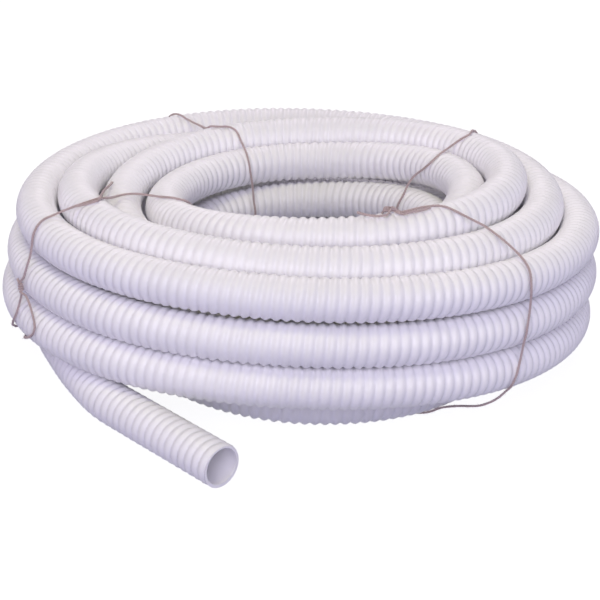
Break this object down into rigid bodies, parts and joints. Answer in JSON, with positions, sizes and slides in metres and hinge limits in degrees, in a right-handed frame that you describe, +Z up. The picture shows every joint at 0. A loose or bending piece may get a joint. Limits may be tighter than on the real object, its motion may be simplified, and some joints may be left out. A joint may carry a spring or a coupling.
{
  "type": "vacuum hose",
  "caption": "Ribbed white swimming pool vacuum hose with a smooth bore, wound into a low round coil, tied with twine, one cut end lying loose in front.",
  "frame": {"origin": "on the floor, at the middle of the coil's eye", "axes": "+Z up along the coil's axis, -Y towards the side where the loose end lies, +X to the right seen from there"},
  "size_m": [0.6617, 0.7138, 0.2229],
  "materials": {
    "hose_plastic": "glossy white flexible PVC",
    "twine": "rough twisted jute, faded pinkish brown"
  },
  "bodies": {
    "root": {"hose_coil": "hose_plastic", "hose_tail": "hose_plastic", "hose_end": "hose_plastic", "tie_back_left": "twine", "tie_back_right": "twine", "tie_front_right": "twine", "tie_left": "twine"}
  },
  "joints": []
}
